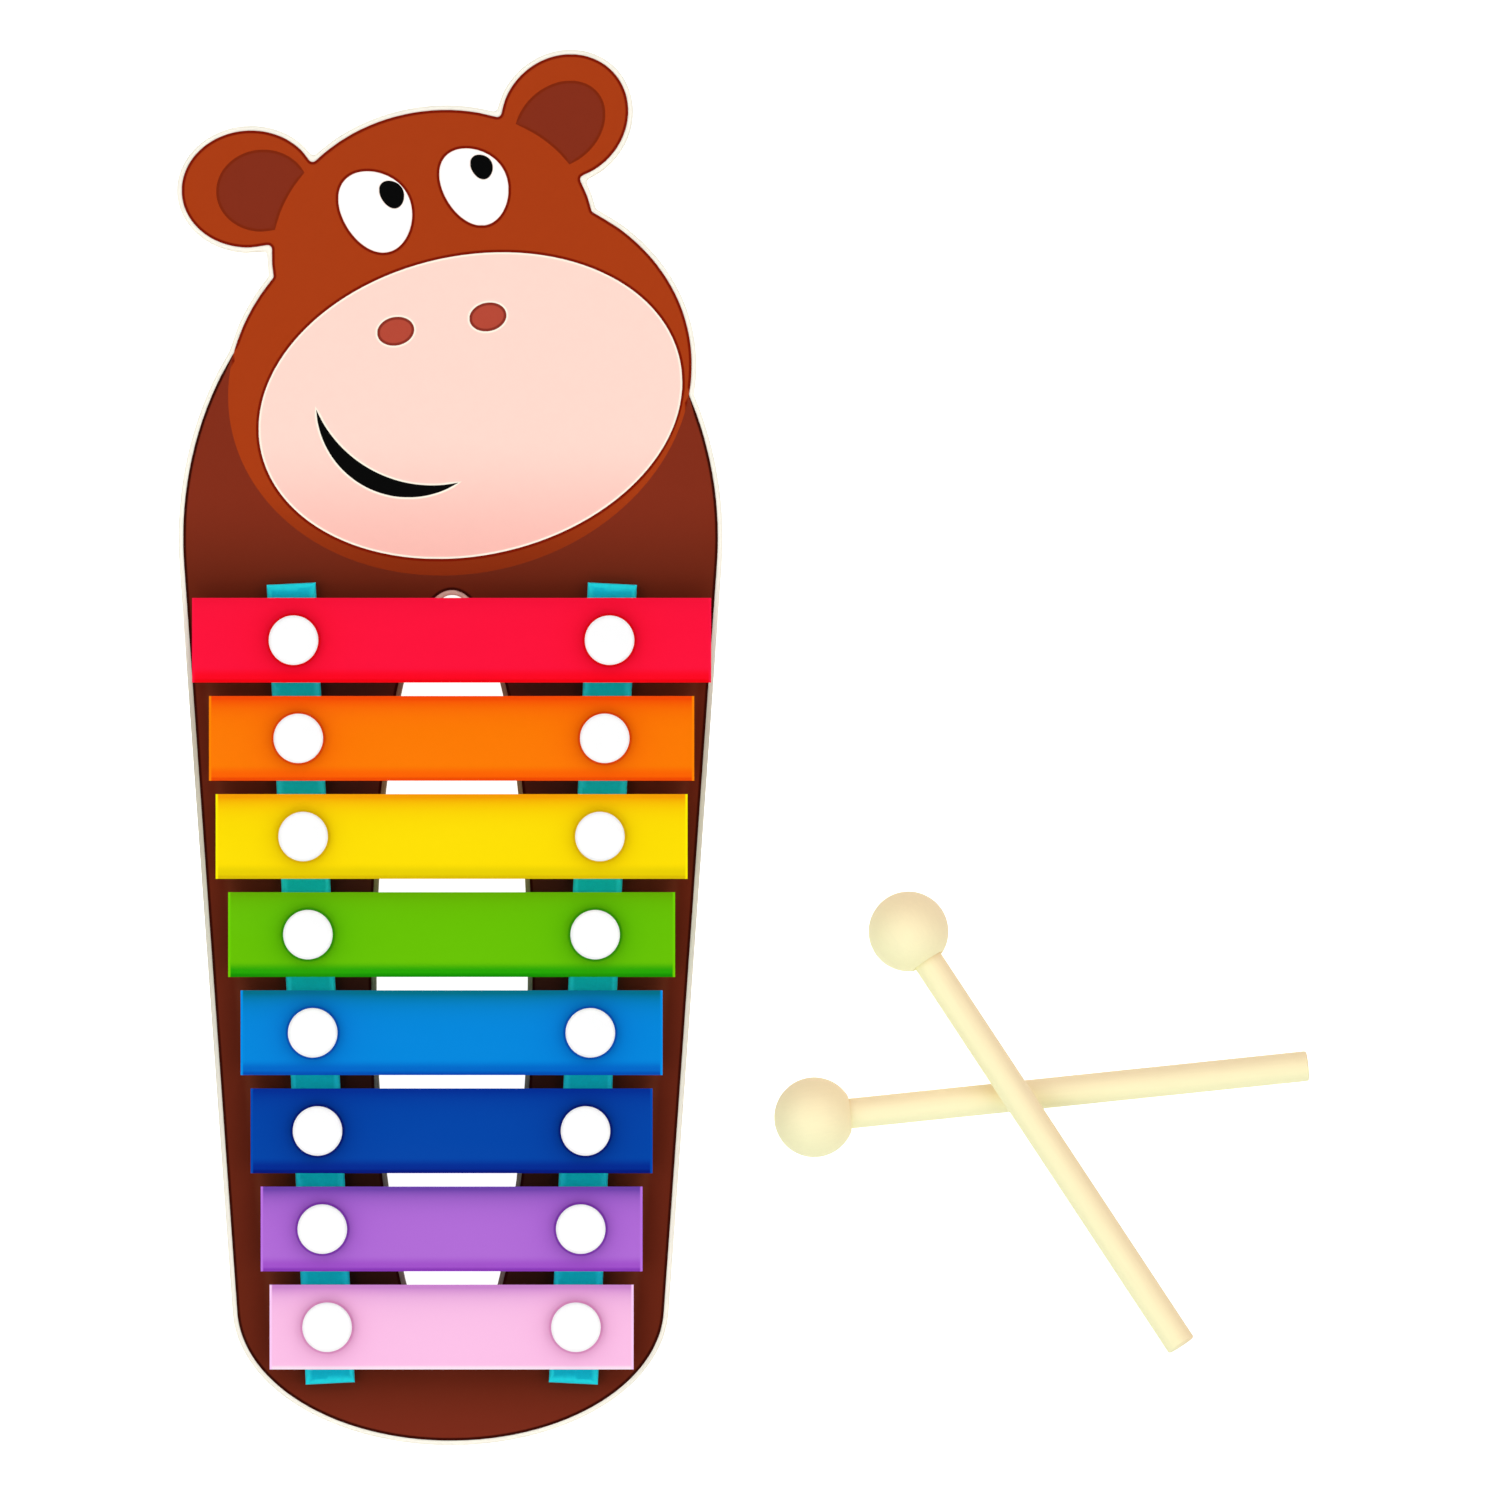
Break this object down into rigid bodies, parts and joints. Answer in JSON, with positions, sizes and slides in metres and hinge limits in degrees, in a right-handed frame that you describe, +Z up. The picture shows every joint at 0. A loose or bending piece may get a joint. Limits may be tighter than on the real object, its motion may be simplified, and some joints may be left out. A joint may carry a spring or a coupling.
{
  "type": "toy xylophone",
  "caption": "Flat wooden toy xylophone cut and printed as a smiling monkey, with coloured metal bars pinned loosely over soft strips, and wooden mallets beside it.",
  "frame": {"origin": "on the table, under the middle of the box that holds the board and the mallets", "axes": "+Z up from the table, +Y towards the monkey's head along the row of bars, +X across the board towards the mallets"},
  "size_m": [0.2542, 0.3132, 0.0243],
  "materials": {
    "board_wood": "satin",
    "brown_print": "satin",
    "russet_print": "satin",
    "inner_ear_print": "satin",
    "peach_print": "satin",
    "nostril_print": "satin",
    "black_print": "satin",
    "white_print": "satin",
    "strip_felt": "matte",
    "red_enamel": "gloss",
    "orange_enamel": "gloss",
    "yellow_enamel": "gloss",
    "green_enamel": "gloss",
    "light_blue_enamel": "gloss",
    "dark_blue_enamel": "gloss",
    "purple_enamel": "gloss",
    "pink_enamel": "gloss",
    "pin_plastic": "satin",
    "mallet_head_wood": "satin",
    "mallet_stick_wood": "satin"
  },
  "bodies": {
    "root": {"board": "board_wood", "body_print": "brown_print", "head_print": "russet_print", "left_ear_print": "inner_ear_print", "right_ear_print": "inner_ear_print", "muzzle_print": "peach_print", "left_nostril_print": "nostril_print", "right_nostril_print": "nostril_print", "mouth_print": "black_print", "left_eye_print": "white_print", "right_eye_print": "white_print", "left_pupil_print": "black_print", "right_pupil_print": "black_print", "left_strip": "strip_felt", "right_strip": "strip_felt", "red_bar_left_pin": "pin_plastic", "red_bar_right_pin": "pin_plastic", "orange_bar_left_pin": "pin_plastic", "orange_bar_right_pin": "pin_plastic", "yellow_bar_left_pin": "pin_plastic", "yellow_bar_right_pin": "pin_plastic", "green_bar_left_pin": "pin_plastic", "green_bar_right_pin": "pin_plastic", "light_blue_bar_left_pin": "pin_plastic", "light_blue_bar_right_pin": "pin_plastic", "dark_blue_bar_left_pin": "pin_plastic", "dark_blue_bar_right_pin": "pin_plastic", "purple_bar_left_pin": "pin_plastic", "purple_bar_right_pin": "pin_plastic", "pink_bar_left_pin": "pin_plastic", "pink_bar_right_pin": "pin_plastic"},
    "red_bar": {"red_bar": "red_enamel"},
    "orange_bar": {"orange_bar": "orange_enamel"},
    "yellow_bar": {"yellow_bar": "yellow_enamel"},
    "green_bar": {"green_bar": "green_enamel"},
    "light_blue_bar": {"light_blue_bar": "light_blue_enamel"},
    "dark_blue_bar": {"dark_blue_bar": "dark_blue_enamel"},
    "purple_bar": {"purple_bar": "purple_enamel"},
    "pink_bar": {"pink_bar": "pink_enamel"},
    "lower_mallet": {"lower_mallet_head": "mallet_head_wood", "lower_mallet_stick": "mallet_stick_wood"},
    "upper_mallet": {"upper_mallet_head": "mallet_head_wood", "upper_mallet_stick": "mallet_stick_wood"}
  },
  "joints": [
    {"name": "red_bar_play", "type": "slide", "parent": "root", "child": "red_bar", "axis": [0, 0, 1], "range_m": [0, 0.0008]},
    {"name": "orange_bar_play", "type": "slide", "parent": "root", "child": "orange_bar", "axis": [0, 0, 1], "range_m": [0, 0.0008]},
    {"name": "yellow_bar_play", "type": "slide", "parent": "root", "child": "yellow_bar", "axis": [0, 0, 1], "range_m": [0, 0.0008]},
    {"name": "green_bar_play", "type": "slide", "parent": "root", "child": "green_bar", "axis": [0, 0, 1], "range_m": [0, 0.0008]},
    {"name": "light_blue_bar_play", "type": "slide", "parent": "root", "child": "light_blue_bar", "axis": [0, 0, 1], "range_m": [0, 0.0008]},
    {"name": "dark_blue_bar_play", "type": "slide", "parent": "root", "child": "dark_blue_bar", "axis": [0, 0, 1], "range_m": [0, 0.0008]},
    {"name": "purple_bar_play", "type": "slide", "parent": "root", "child": "purple_bar", "axis": [0, 0, 1], "range_m": [0, 0.0008]},
    {"name": "pink_bar_play", "type": "slide", "parent": "root", "child": "pink_bar", "axis": [0, 0, 1], "range_m": [0, 0.0008]},
    {"name": "lower_mallet_slide", "type": "slide", "parent": "root", "child": "lower_mallet", "axis": [0.5505, -0.8348, 0], "range_m": [0, 0.09]},
    {"name": "upper_mallet_lift", "type": "slide", "parent": "root", "child": "upper_mallet", "axis": [0, 0, 1], "range_m": [0, 0.12]}
  ]
}
